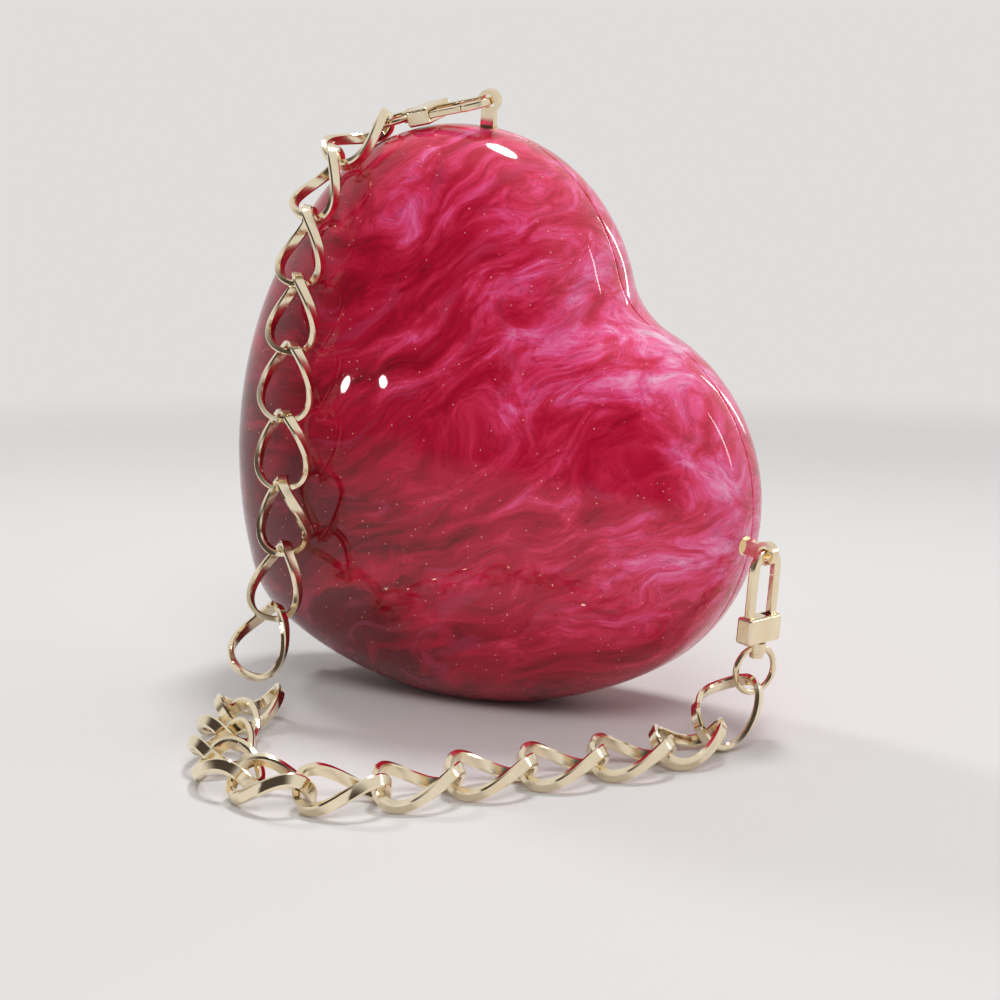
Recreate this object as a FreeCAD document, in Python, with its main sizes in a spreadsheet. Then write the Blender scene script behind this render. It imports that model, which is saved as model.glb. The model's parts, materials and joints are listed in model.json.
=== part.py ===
import FreeCAD, Part
import math
import os
import re
from FreeCAD import Placement, Rotation, Vector

# Heart shaped hard purse standing on one flank: two domed half shells hinged at the tip,
# magnets beside the cleft, a lug on each lobe, and a twisted curb chain on two swivel snap hooks.
# Millimetres, degrees; +Z is up, the front half faces -Y, the origin is the middle of the foot flat.

SIZES = [
    ("lobe_radius", 56, "radius of each lobe"),
    ("lobe_offset", 34, "lobe centre from the middle line"),
    ("tip_radius", 28, "rounding of the tip"),
    ("tip_offset", 81, "tip centre below the lobe centres"),
    ("flank_radius", 125, "radius of each flank"),
    ("cleft_radius", 26, "rounding of the cleft"),
    ("half_depth", 38, "depth of each half shell"),
    ("crown_offset", 25, "crown of the dome below the lobe centres"),
    ("plan_power", 2.55, "fullness of the dome in plan"),
    ("rise_power", 2.5, "fullness of the dome in height"),
    ("wall", 3, "shell wall"),
    ("seam_gap", 0.4, "gap between the two rims"),
    ("stand_angle", 52.5, "turn of the heart when it stands on its flank"),
    ("foot_depth", 1.2, "depth of the flat that the purse stands on"),
    ("tip_block", 14, "solid depth behind the tip for the hinge screws"),
    ("hinge_length", 24, "length of the hinge"),
    ("hinge_offset", 0.6, "hinge axis outside the tip"),
    ("barrel_radius", 2.2, "outer radius of the knuckles"),
    ("pin_radius", 0.9, "hinge pin"),
    ("pin_head_radius", 1.5, "peened end of the hinge pin"),
    ("pin_head_height", 0.6, "thickness of the peened end"),
    ("fit", 0.05, "radial clearance of pins, studs and magnets"),
    ("leaf_depth", 10, "hinge leaf from the axis inward"),
    ("leaf_thickness", 1.2, "hinge leaf"),
    ("knuckle_length", 7.8, "middle knuckle"),
    ("knuckle_gap", 0.3, "gap beside each knuckle"),
    ("groove_gap", 0.4, "gap between the knuckles and the shells"),
    ("screw_spacing", 14, "between the two screws of a leaf"),
    ("screw_setback", 6.2, "screws from the hinge axis"),
    ("screw_radius", 0.9, "screw shank"),
    ("screw_length", 6, "screw shank below the head"),
    ("screw_head_radius", 1.7, "screw head"),
    ("screw_head_height", 0.6, "screw head"),
    ("screw_slot", 0.4, "driver slot width"),
    ("screw_slot_depth", 0.3, "driver slot depth"),
    ("magnet_radius", 3, "catch magnet"),
    ("magnet_height", 2, "catch magnet"),
    ("boss_wall", 1.6, "wall round and behind a magnet"),
    ("magnet_inset", 6.5, "magnet centre inside the outline"),
    ("magnet_angle", 14.3, "magnet from the top of its lobe toward the cleft"),
    ("lug_a_angle", 38, "upper lug from the top of its lobe toward the outside"),
    ("lug_b_angle", 46.5, "lower lug from the top of its lobe toward the outside"),
    ("lug_side", 4.5, "lug in front of the seam plane"),
    ("lug_tilt", 17, "lean of the lug toward the front"),
    ("lug_height", 8.2, "eye centre above the shell"),
    ("lug_head_radius", 3.3, "outer radius of the eye"),
    ("lug_hole_radius", 2.1, "hole of the eye"),
    ("lug_neck", 4.2, "width of the neck"),
    ("lug_thickness", 2.4, "thickness of the eye and the neck"),
    ("collar_radius", 2.8, "collar of the lug"),
    ("collar_height", 1.2, "collar of the lug"),
    ("collar_sink", 0.6, "collar let into the shell"),
    ("stud_radius", 1.5, "threaded stud of the lug"),
    ("seat_depth", 2.8, "washer seat below the outer surface"),
    ("seat_radius", 3.6, "washer seat"),
    ("washer_radius", 3.2, "washer"),
    ("washer_height", 0.6, "washer"),
    ("nut_radius", 2.9, "corner radius of the nut"),
    ("nut_height", 1.8, "nut"),
    ("stud_end", 0.8, "stud beyond the nut"),
    ("lug_a_heading", -85, "heading of the hole through the upper eye"),
    ("hook_a_heading", 185, "heading of the upper hook"),
    ("ring_a_lift", 3, "middle of the upper ring above the lobe"),
    ("hook_b_lean", 5.5, "lean of the lower hook toward the purse"),
    ("arch_radius", 4.7, "middle radius of the hook's arch"),
    ("hook_width", 2.6, "hook bar across its plane"),
    ("hook_thickness", 2.2, "hook bar"),
    ("hook_round", 0.55, "rounding of the hook bar"),
    ("leg_length", 13.1, "straight leg from the arch to the block"),
    ("nose_length", 1.8, "straight nose that the gate closes on"),
    ("block_width", 14, "hook block"),
    ("block_depth", 5, "hook block"),
    ("block_height", 7.6, "hook block"),
    ("block_round", 0.8, "rounding of the hook block"),
    ("gate_thickness", 2, "gate"),
    ("gate_round", 0.4, "rounding of the gate"),
    ("gate_gap", 0.3, "gap between the gate and the nose"),
    ("gate_rise", 2.2, "gate pin above the bottom of the block"),
    ("gate_pin_radius", 0.5, "gate pin"),
    ("slot_start", 1.3, "slot in the block, inner end"),
    ("slot_end", 6.1, "slot in the block, outer end"),
    ("slot_width", 2.4, "slot in the block"),
    ("slot_floor", 0.7, "block below the slot"),
    ("spring_thickness", 0.3, "leaf spring behind the gate"),
    ("spring_width", 1.6, "leaf spring behind the gate"),
    ("spring_start", 1.6, "leaf spring above the gate pin, lower end"),
    ("spring_length", 3.6, "leaf spring behind the gate"),
    ("rivet_radius", 1.1, "swivel rivet"),
    ("rivet_depth", 2.6, "swivel rivet inside the block"),
    ("rivet_head_radius", 1.9, "swivel rivet head"),
    ("rivet_head_height", 1.2, "swivel rivet head"),
    ("swivel_gap", 0.2, "gap above and below the swivel collar"),
    ("swivel_fit", 0.08, "radial clearance of the swivel collar"),
    ("swivel_collar_radius", 2.4, "collar of the swivel ring"),
    ("swivel_collar_height", 3, "collar of the swivel ring"),
    ("ring_radius", 6.6, "middle radius of the swivel ring"),
    ("ring_wire", 0.9, "wire radius of the swivel ring"),
    ("ring_drop", 1.5, "ring wire below the top of its collar"),
    ("ring_a_turn", 0, "swivel of the upper ring on its hook"),
    ("ring_b_turn", -13, "swivel of the lower ring on its hook"),
    ("ring_a_angle", 60, "first link round the upper ring from its far end"),
    ("ring_b_angle", -45, "first link round the lower ring from its far end"),
    ("ring_a_play", 1.8, "first link inside the upper ring"),
    ("ring_b_play", 0.1, "first link inside the lower ring"),
    ("link_pitch", 20, "chain pitch"),
    ("link_gap", 1, "play between linked ends"),
    ("link_half_width", 7, "inner half width of a link"),
    ("link_thickness", 1.75, "link bar across the loop"),
    ("link_band", 3.6, "link bar along the loop's axis"),
    ("link_bevel_in", 0.4, "bevel depth on the bar's inner face"),
    ("link_bevel_out", 0.3, "bevel depth on the bar's outer face"),
    ("link_bevel_side", 0.5, "bevel width on the bar"),
    ("link_power", 2.5, "fullness of the link's loop"),
    ("link_twist", 90, "twist from end to end of a link"),
    ("floor_gap", 0.1, "lying links above the surface"),
    ("floor_step", 0.5, "first lying joint above the others"),
]

# Angles up the dome at which its outline is drawn.
DOME_STEPS = (0, 4, 10, 18, 27, 37, 48, 59, 70, 80, 86)
# Points round one link.
LINK_STEPS = 40

# Chain from the upper hook, hanging over the front.
# Each link: heading and slope of its length, heading and slope of its face, and slack.
FALL = [
    (240, -31, 246, 59, 0.5),
    (251, -60, 242, 29, 0.2),
    (259, -76, 248, 14, 0),
    (266, -79, 258, 10, 0),
    (260, -81, 273, 8, 0),
    (260, -87, 272, 3, 0),
    (127, -84, 262, -5, 0.2),
    (262, -72, 266, 12, 0.8),
    (278, -50, 282, 40, 0),
]
# Chain from the lower hook, lying on the surface and gathered at its end: the same five values.
LIE = [
    (258, 0, 300, 44, 1.3),
    (255, 0, 0, 90, 0.3),
    (234, 0, 0, 90, 0),
    (232, 0, 0, 90, 0),
    (231, 0, 0, 90, 0),
    (238, 0, 0, 90, 0.5),
    (212, 0, 0, 90, 0.7),
    (181, 0, 0, 90, 0.7),
    (150, 0, 0, 90, 0.8),
    (120, 0, 0, 90, 0.2),
    (127, 0, 0, 90, 1),
    (95, 0, 0, 90, 0),
]

X = Vector(1, 0, 0)
Y = Vector(0, 1, 0)
Z = Vector(0, 0, 1)
ALONG_X = Rotation(Z, X)
ALONG_Y = Rotation(Z, Y)

doc = FreeCAD.newDocument("heart_purse")
sheet = doc.addObject("Spreadsheet::Sheet", "sizes")
for row, (alias, value, meaning) in enumerate(SIZES, start=1):
    sheet.set("A%d" % row, meaning)
    sheet.set("B%d" % row, str(value))
    sheet.setAlias("B%d" % row, alias)
doc.recompute()

nodes = []


def size(alias):
    """Value of one cell of the size sheet."""
    return float(sheet.get(alias))


def at(x, y, z, turn=Rotation()):
    """Placement at a point, with a turn."""
    return Placement(Vector(x, y, z), turn)


def bound(kind, name, place, **formulas):
    """Solid whose properties are bound to cells of the size sheet."""
    piece = doc.addObject(kind, name)
    for prop, formula in formulas.items():
        piece.setExpression(prop, re.sub(r"[a-z][a-z_]+", r"sizes.\g<0>", formula))
    piece.recompute()
    piece.Placement = place
    return piece


def cylinder(name, place, radius, height):
    """Cylinder standing on its placement."""
    return bound("Part::Cylinder", name, place, Radius=radius, Height=height)


def rod(name, place, radius, height):
    """Cylinder centred on its placement."""
    piece = cylinder(name, place, radius, height)
    piece.Placement = place * at(0, 0, -piece.Height.Value / 2)
    return piece


def block(name, place, length, width, height):
    """Box standing on the middle of its base."""
    piece = bound("Part::Box", name, place, Length=length, Width=width, Height=height)
    piece.Placement = place * at(-piece.Length.Value / 2, -piece.Width.Value / 2, 0)
    return piece


def cut(name, base, tool):
    """First solid less the second."""
    piece = doc.addObject("Part::Cut", name)
    piece.Base = base
    piece.Tool = tool
    piece.recompute()
    return piece


def fuse(name, *solids):
    """Solids joined into one."""
    piece = doc.addObject("Part::MultiFuse", name)
    piece.Shapes = list(solids)
    piece.Refine = True
    piece.recompute()
    return piece


def rounded(name, base, radius, chosen):
    """Solid with the chosen edges rounded."""
    piece = doc.addObject("Part::Fillet", name)
    piece.Base = base
    edges = enumerate(base.Shape.Edges, start=1)
    piece.Edges = [(number, radius, radius) for number, edge in edges if chosen(edge)]
    piece.recompute()
    return piece


def solid(name, shape):
    """Solid whose shape is drawn from the size sheet in code."""
    piece = doc.addObject("Part::Feature", name)
    piece.Shape = shape
    return piece


def node(label, piece, place):
    """Finished sub-part with its own label and placement."""
    piece.Label = label
    piece.Placement = place
    nodes.append(piece)
    return piece


def unit(values):
    """Unit vector."""
    vector = Vector(*values)
    return vector / vector.Length


def square(vector, axis):
    """Unit vector nearest to the first and square to the second."""
    return unit(vector - axis * vector.dot(axis))


def frame(origin, x_axis, z_axis):
    """Placement whose x and z axes are given, square to each other."""
    return Placement(origin, Rotation(x_axis, z_axis.cross(x_axis), z_axis, "XZY"))


def heading(angle, slope=0):
    """Unit vector from a compass angle and a slope."""
    flat = math.cos(math.radians(slope))
    bearing = math.radians(angle)
    return Vector(flat * math.cos(bearing), flat * math.sin(bearing), math.sin(math.radians(slope)))


# The heart's outline: six tangent arcs, drawn with x across, y from tip to cleft, z out of the seam.

LOBE = Vector(size("lobe_offset"), 0, 0)
TIP = Vector(0, -size("tip_offset"), 0)
CROWN = Vector(0, -size("crown_offset"), 0)
CLEFT_RISE = math.sqrt((size("lobe_radius") + size("cleft_radius")) ** 2 - size("lobe_offset") ** 2)
CLEFT = Vector(0, CLEFT_RISE, 0)


def flank_centre():
    """Centre of the right flank's arc, which touches the lobe and the tip from outside."""
    near = size("flank_radius") - size("lobe_radius")
    far = size("flank_radius") - size("tip_radius")
    span = TIP - LOBE
    along = (near ** 2 - far ** 2 + span.Length ** 2) / (2 * span.Length)
    aside = math.sqrt(near ** 2 - along ** 2)
    direction = unit(span)
    return LOBE + direction * along + direction.cross(Z) * aside


FLANK = flank_centre()
SEAM = size("seam_gap") / 2


def mirrored(point):
    """Point on the other side of the middle line."""
    return Vector(-point.x, point.y, point.z)


def outline(inset, scale, height):
    """Outline drawn in by an inset, scaled about the crown and lifted to a height."""
    lobe = size("lobe_radius") - inset
    tip = size("tip_radius") - inset
    flank = size("flank_radius") - inset
    cleft = size("cleft_radius") + inset
    to_tip = unit(TIP - FLANK)
    to_lobe = unit(LOBE - FLANK)
    to_cleft = unit(CLEFT - LOBE)
    tip_end = TIP + to_tip * tip
    flank_mid = FLANK + unit(to_tip + to_lobe) * flank
    flank_end = LOBE + to_lobe * lobe
    lobe_mid = LOBE + unit(to_lobe + to_cleft) * lobe
    lobe_end = LOBE + to_cleft * lobe
    bottom = TIP - Y * tip
    notch = CLEFT - Y * cleft
    runs = [
        (mirrored(tip_end), bottom, tip_end),
        (tip_end, flank_mid, flank_end),
        (flank_end, lobe_mid, lobe_end),
        (lobe_end, notch, mirrored(lobe_end)),
        (mirrored(lobe_end), mirrored(lobe_mid), mirrored(flank_end)),
        (mirrored(flank_end), mirrored(flank_mid), mirrored(tip_end)),
    ]
    lift = Z * height
    edges = []
    for run in runs:
        points = [CROWN + (point - CROWN) * scale + lift for point in run]
        edges.append(Part.Arc(*points).toShape())
    return Part.Wire(edges)


def dome(name, inset):
    """One half of the heart as a solid dome on the seam plane."""
    top = size("half_depth") - inset
    last = math.sin(math.radians(DOME_STEPS[-1])) ** (2 / size("rise_power"))
    wires = []
    for step in DOME_STEPS:
        scale = math.cos(math.radians(step)) ** (2 / size("plan_power"))
        rise = math.sin(math.radians(step)) ** (2 / size("rise_power")) / last
        wires.append(outline(inset, scale, SEAM + (top - SEAM) * rise))
    return solid(name, Part.makeLoft(wires, True, False))


# The heart stands on the left flank of its own frame, turned and lifted onto the foot flat.

STAND = Rotation(Y, size("stand_angle")) * Rotation(X, 90)
FLANK_WORLD = STAND.multVec(FLANK)
LIFT = size("flank_radius") - size("foot_depth") - FLANK_WORLD.z
BODY = Placement(Vector(-FLANK_WORLD.x, 0, LIFT), STAND)
LID = BODY * Placement(Vector(), Rotation(Y, 180))


def ground(name, place, level):
    """Everything below a level, seen from a half shell's own frame."""
    drop = at(0, 0, level - size("lobe_radius"))
    return block(name, place.inverse() * drop, "8 * lobe_radius", "4 * half_depth", "lobe_radius")


# Places of the hinge, screws and magnets in a half shell's own frame.

HINGE_LINE = -(size("tip_offset") + size("tip_radius") + size("hinge_offset"))
SCREW_LINE = HINGE_LINE + size("screw_setback")
SCREWS = [Vector(side * size("screw_spacing") / 2, SCREW_LINE, SEAM) for side in (-1, 1)]
LEAF_TOP = SEAM + size("leaf_thickness")
SIDE_KNUCKLE = "(hinge_length - knuckle_length) / 2 - knuckle_gap"
SIDE_LENGTH = (size("hinge_length") - size("knuckle_length")) / 2 - size("knuckle_gap")
SIDE_MIDDLE = (size("hinge_length") - SIDE_LENGTH) / 2


def magnet_points():
    """Middle of each catch magnet on the seam face."""
    reach = size("lobe_radius") - size("magnet_inset")
    turn = math.radians(size("magnet_angle"))
    across = size("lobe_offset") - reach * math.sin(turn)
    return [Vector(side * across, reach * math.cos(turn), SEAM) for side in (-1, 1)]


MAGNETS = magnet_points()


def hinge_rod(name, across, radius, length):
    """Cylinder on the hinge axis, centred at a place across it."""
    return rod(name, at(across, HINGE_LINE, 0, ALONG_X), radius, length)


def leaf_plate(name):
    """Flat of a hinge leaf in its recess behind the tip."""
    middle = HINGE_LINE + size("leaf_depth") / 2
    return block(name, at(0, middle, SEAM), "hinge_length", "leaf_depth", "leaf_thickness")


def make_leaf(name, place, own, other):
    """Hinge leaf with its own knuckles, cleared round the other leaf's knuckles."""
    solids = [leaf_plate(name + "_plate")]
    gaps = [hinge_rod(name + "_bore", 0, "pin_radius + fit", "2 * hinge_length")]
    for number, (across, length) in enumerate(own):
        solids.append(hinge_rod("%s_knuckle_%d" % (name, number), across, "barrel_radius", length))
    for number, (across, length) in enumerate(other):
        wide = length + " + 2 * knuckle_gap"
        gaps.append(hinge_rod("%s_gap_%d" % (name, number), across, "barrel_radius + knuckle_gap", wide))
    for number, point in enumerate(SCREWS):
        spot = Placement(point, Rotation())
        gaps.append(cylinder("%s_hole_%d" % (name, number), spot, "screw_radius + fit", "2 * leaf_thickness"))
        gaps.append(cylinder("%s_sink_%d" % (name, number), spot, "screw_head_radius + fit", "screw_head_height"))
    return node(name, cut(name + "_cut", fuse(name + "_solid", *solids), fuse(name + "_gaps", *gaps)), place)


def make_screw(name, place, point):
    """Slotted screw let flush into a hinge leaf."""
    head = cylinder(name + "_head", at(0, 0, 0), "screw_head_radius", "screw_head_height")
    shank = cylinder(name + "_shank", at(0, 0, size("screw_head_height")), "screw_radius", "screw_length")
    slot = block(name + "_slot", at(0, 0, 0), "3 * screw_head_radius", "screw_slot", "screw_slot_depth")
    return node(name, cut(name + "_cut", fuse(name + "_solid", head, shank), slot),
                place * Placement(point, Rotation()))


def make_half(name, place, extra):
    """Half shell: dome, cavity, foot flat, hinge recess and magnet pockets."""
    fill = [ground(name + "_floor", place, size("wall"))]
    tip_middle = size("tip_block") / 2 - size("tip_offset") - size("tip_radius")
    fill.append(block(name + "_tip", at(0, tip_middle, 0), "2 * lobe_radius", "tip_block", "half_depth"))
    tools = [ground(name + "_foot", place, 0)]
    tools.append(leaf_plate(name + "_recess"))
    tools.append(hinge_rod(name + "_groove", 0, "barrel_radius + groove_gap", "hinge_length + 2 * groove_gap"))
    for number, point in enumerate(SCREWS):
        spot = Placement(point, Rotation())
        depth = "screw_head_height + screw_length + fit"
        tools.append(cylinder("%s_screw_%d" % (name, number), spot, "screw_radius + fit", depth))
    for number, point in enumerate(MAGNETS):
        spot = Placement(point, Rotation())
        fill.append(cylinder("%s_boss_%d" % (name, number), spot, "magnet_radius + boss_wall",
                             "magnet_height + boss_wall"))
        tools.append(cylinder("%s_pocket_%d" % (name, number), spot, "magnet_radius + fit", "magnet_height"))
    cavity = cut(name + "_cavity", dome(name + "_inside", size("wall")), fuse(name + "_fill", *fill))
    hollow = cut(name + "_hollow", dome(name + "_outside", 0), cavity)
    return node(name, cut(name + "_cut", hollow, fuse(name + "_tools", *(tools + extra))), place)


# Lugs: one on each lobe of the body shell, leaning toward the front.

def lug_frame(side, angle, towards):
    """Foot of a lug on the shell: z along the lug, x through its eye."""
    turn = math.radians(angle)
    tilt = math.radians(size("lug_tilt"))
    radial = Vector(side * math.sin(turn), math.cos(turn), 0)
    rim = Vector(side * size("lobe_offset"), 0, 0) + radial * size("lobe_radius")
    share = (size("lug_side") - SEAM) / (size("half_depth") - SEAM)
    scale = (1 - share ** size("rise_power")) ** (1 / size("plan_power"))
    foot = CROWN + (rim - CROWN) * scale + Z * size("lug_side")
    axis = BODY.Rotation.multVec(radial * math.cos(tilt) + Z * math.sin(tilt))
    return frame(BODY.multVec(foot), square(towards(axis), axis), axis)


LUGS = {
    "a": lug_frame(-1, size("lug_a_angle"), lambda axis: heading(size("lug_a_heading"))),
    "b": lug_frame(1, size("lug_b_angle"), lambda axis: Z.cross(axis)),
}


def make_lug(letter, place):
    """Eye lug with its collar and stud, and the washer and nut behind it."""
    name = "lug_" + letter
    eye = at(0, 0, size("lug_height"), ALONG_X)
    under = "washer_height + nut_height + stud_end + seat_depth"
    tail = size("washer_height") + size("nut_height") + size("stud_end") + size("seat_depth")
    solids = [
        cylinder(name + "_collar", at(0, 0, -size("collar_sink")), "collar_radius", "collar_height"),
        cylinder(name + "_stud", at(0, 0, -tail), "stud_radius", under),
        block(name + "_neck", at(0, 0, 0), "lug_thickness", "lug_neck", "lug_height"),
        rod(name + "_head", eye, "lug_head_radius", "lug_thickness"),
    ]
    hole = rod(name + "_hole", eye, "lug_hole_radius", "2 * lug_thickness")
    node(name, cut(name + "_cut", fuse(name + "_solid", *solids), hole), place)
    washer = cylinder(name + "_disc", at(0, 0, 0), "washer_radius", "washer_height")
    nut = bound("Part::Prism", name + "_hexagon", at(0, 0, 0), Circumradius="nut_radius", Height="nut_height")
    washer_bore = cylinder(name + "_washer_bore", at(0, 0, 0), "stud_radius + fit", "washer_height")
    nut_bore = cylinder(name + "_nut_bore", at(0, 0, 0), "stud_radius + fit", "nut_height")
    washer_level = -size("seat_depth") - size("washer_height")
    node("lug_washer_" + letter, cut(name + "_washer", washer, washer_bore), place * at(0, 0, washer_level))
    nut_level = washer_level - size("nut_height")
    node("lug_nut_" + letter, cut(name + "_nut", nut, nut_bore), place * at(0, 0, nut_level))


def lug_tools(letter, place):
    """Stud hole, collar seat and washer seat of a lug in the body shell's frame."""
    name = "seat_" + letter
    spot = BODY.inverse() * place
    seat = spot * at(0, 0, -size("seat_depth") - size("lug_height"))
    return [
        rod(name + "_stud", spot, "stud_radius + fit", "4 * seat_depth"),
        cylinder(name + "_collar", spot * at(0, 0, -size("collar_sink")), "collar_radius + fit", "lug_height"),
        cylinder(name + "_washer", seat, "seat_radius", "lug_height"),
    ]


# Snap hooks: arch through the lug's eye, sprung gate, block, rivet and swivel ring.

ARCH = size("arch_radius")
LEG_END = -ARCH - size("leg_length")
BLOCK_END = LEG_END - size("block_height")
GATE_PIVOT = Vector(ARCH, 0, BLOCK_END + size("gate_rise"))
COLLAR_TOP = BLOCK_END - size("swivel_gap")
COLLAR_END = COLLAR_TOP - size("swivel_collar_height")
RING_MIDDLE = COLLAR_TOP - size("ring_drop") - size("ring_radius")


def hook_frame(lug, direction):
    """Frame of a hook in the lug's eye: x through the eye, z from the ring to the arch."""
    through = lug.Rotation.multVec(X)
    return frame(lug.multVec(Z * size("lug_height")), through, square(direction, through) * -1)


def lean_direction(lug):
    """Direction of the hanging hook, leaning from the lug toward the purse."""
    lean = math.radians(size("hook_b_lean"))
    outward = square(lug.Rotation.multVec(Z), Z)
    return outward * -math.sin(lean) - Z * math.cos(lean)


def resting_slope(lug):
    """Slope of the upper hook that holds the middle of its ring at a set height above the lobe."""
    to_lobe = BODY.multVec(mirrored(LOBE)) - lug.multVec(Z * size("lug_height"))
    across = math.hypot(to_lobe.x, to_lobe.z)
    height = size("lobe_radius") + size("ring_a_lift")
    share = (across ** 2 + RING_MIDDLE ** 2 - height ** 2) / (-2 * across * RING_MIDDLE)
    return math.degrees(math.acos(share) - math.atan2(-to_lobe.z, -to_lobe.x))


HOOKS = {
    "a": hook_frame(LUGS["a"], heading(size("hook_a_heading"), resting_slope(LUGS["a"]))),
    "b": hook_frame(LUGS["b"], lean_direction(LUGS["b"])),
}


def along_bar(edge):
    """Whether an edge of the bent bar runs along it, on either face."""
    ends = [vertex.Point for vertex in edge.Vertexes]
    same_face = abs(ends[0].y - ends[-1].y) < size("fit")
    return same_face and abs(ends[0].z - ends[-1].z) + edge.Length > 1.5 * size("hook_width")


def make_hook(letter, place):
    """Snap hook with its gate, gate pin, spring, swivel rivet and swivel ring."""
    name = "hook_" + letter
    middle = at(0, 0, -ARCH, ALONG_Y)
    disc = rod(name + "_disc", middle, "arch_radius + hook_width / 2", "hook_thickness")
    hollow = rod(name + "_hollow", middle, "arch_radius - hook_width / 2", "2 * hook_thickness")
    lower = block(name + "_lower", at(0, 0, -3 * ARCH), "4 * arch_radius", "2 * hook_thickness",
                  "2 * arch_radius")
    arch = cut(name + "_arch", disc, fuse(name + "_inside", hollow, lower))
    leg = block(name + "_leg", at(-ARCH, 0, LEG_END - size("block_round")), "hook_width", "hook_thickness",
                "leg_length + block_round")
    nose = block(name + "_nose", at(ARCH, 0, -ARCH - size("nose_length")), "hook_width", "hook_thickness",
                 "nose_length")
    bar = rounded(name + "_bar", fuse(name + "_bent", arch, leg, nose), size("hook_round"), along_bar)
    base = block(name + "_base", at(0, 0, BLOCK_END), "block_width", "block_depth", "block_height")
    base_round = rounded(name + "_base_round", base, size("block_round"), lambda edge: True)
    slot_middle = (size("slot_start") + size("slot_end")) / 2
    slot = block(name + "_slot", at(slot_middle, 0, BLOCK_END + size("slot_floor")), "slot_end - slot_start",
                 "slot_width", "block_height")
    across = Placement(GATE_PIVOT, ALONG_Y)
    pin_bore = rod(name + "_pin_bore", across, "gate_pin_radius", "2 * block_depth")
    rivet_bore = cylinder(name + "_rivet_bore", at(0, 0, BLOCK_END), "rivet_radius", "rivet_depth")
    tools = fuse(name + "_tools", slot, pin_bore, rivet_bore)
    node(name, cut(name + "_cut", fuse(name + "_solid", bar, base_round), tools), place)

    gate_top = "block_height + leg_length - gate_rise - nose_length - gate_gap"
    gate = "gate_" + letter
    bar = block(gate + "_bar", at(0, 0, 0), "hook_width", "gate_thickness", gate_top)
    gate_round = rounded(gate + "_round", bar, size("gate_round"),
                         lambda edge: edge.Length > size("leg_length"))
    eye = rod(gate + "_eye", at(0, 0, 0, ALONG_Y), "hook_width / 2", "gate_thickness")
    bore = rod(gate + "_bore", at(0, 0, 0, ALONG_Y), "gate_pin_radius + fit", "2 * gate_thickness")
    pivot = place * Placement(GATE_PIVOT, Rotation())
    node(gate, cut(gate + "_cut", fuse(gate + "_solid", gate_round, eye), bore), pivot)
    pin = rod("gate_pin_" + letter, at(0, 0, 0), "gate_pin_radius", "block_depth")
    node("gate_pin_" + letter, pin, place * across * at(0, 0, -size("block_depth") / 2))
    spring = bound("Part::Box", "gate_spring_" + letter, at(0, 0, 0), Length="spring_thickness",
                   Width="spring_width", Height="spring_length")
    spring_spot = at(-size("hook_width") / 2 - size("spring_thickness"), -size("spring_width") / 2,
                     size("spring_start"))
    node("gate_spring_" + letter, spring, pivot * spring_spot)

    rivet = "swivel_rivet_" + letter
    head_top = COLLAR_END - size("swivel_gap")
    shank = cylinder(rivet + "_shank", at(0, 0, head_top), "rivet_radius",
                     "rivet_depth + swivel_collar_height + 2 * swivel_gap")
    head = cylinder(rivet + "_head", at(0, 0, head_top - size("rivet_head_height")), "rivet_head_radius",
                    "rivet_head_height")
    node(rivet, fuse(rivet + "_solid", shank, head), place)


RINGS = {letter: hook * Placement(Vector(), Rotation(Z, size("ring_%s_turn" % letter)))
         for letter, hook in HOOKS.items()}


def make_ring(letter, place):
    """Swivel ring with its collar on the hook's rivet."""
    ring = "swivel_ring_" + letter
    loop = bound("Part::Torus", ring + "_loop", at(0, 0, RING_MIDDLE, ALONG_Y), Radius1="ring_radius",
                 Radius2="ring_wire")
    collar = cylinder(ring + "_collar", at(0, 0, COLLAR_END), "swivel_collar_radius", "swivel_collar_height")
    bore = rod(ring + "_bore", at(0, 0, COLLAR_TOP), "rivet_radius + swivel_fit", "3 * swivel_collar_height")
    node(ring, cut(ring + "_cut", fuse(ring + "_solid", loop, collar), bore), place)


# Chain links: a full oval loop of bevelled bar, twisted about its length.

HALF_PITCH = size("link_pitch") / 2
LOOP_LENGTH = HALF_PITCH + size("link_gap") / 2 + size("link_thickness") / 2
LOOP_WIDTH = size("link_half_width") + size("link_thickness") / 2


def link_point(turn, outward, aside):
    """Point of a link's bar at an angle round the loop, off the bar's middle line."""
    power = 2 / size("link_power")
    cosine = math.cos(turn)
    sine = math.sin(turn)
    along = math.copysign(abs(cosine) ** power, cosine) * (LOOP_LENGTH + outward)
    across = math.copysign(abs(sine) ** power, sine) * (LOOP_WIDTH + outward)
    twist = -math.radians(size("link_twist") / 2) * along / LOOP_LENGTH
    out = Vector(0, math.cos(twist), math.sin(twist))
    up = Vector(0, -math.sin(twist), math.cos(twist))
    return X * along + out * across + up * aside


def link_shape():
    """Closed solid of one link."""
    half = size("link_thickness") / 2
    edge = size("link_band") / 2
    flat = edge - size("link_bevel_side")
    inner = size("link_bevel_in") - half
    outer = half - size("link_bevel_out")
    corners = [(-half, -flat), (-half, flat), (inner, edge), (outer, edge),
               (half, flat), (half, -flat), (outer, -edge), (inner, -edge)]
    curves = []
    for outward, aside in corners:
        turns = [2 * math.pi * step / LINK_STEPS for step in range(LINK_STEPS)]
        curve = Part.BSplineCurve()
        curve.interpolate([link_point(turn, outward, aside) for turn in turns], PeriodicFlag=True)
        curves.append(curve.toShape())
    faces = [Part.makeRuledSurface(curve, curves[number - 1]) for number, curve in enumerate(curves)]
    shell = Part.makeShell([face for ruled in faces for face in ruled.Faces])
    shell.sewShape()
    loop = Part.Solid(shell)
    loop.fix(size("fit"), size("fit"), size("fit"))
    if loop.Volume < 0:
        loop.reverse()
    return loop


LINK = link_shape()
LINK_HALF_HEIGHT = LINK.BoundBox.ZMax


LIE_LEVEL = LINK_HALF_HEIGHT + size("floor_gap")


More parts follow.
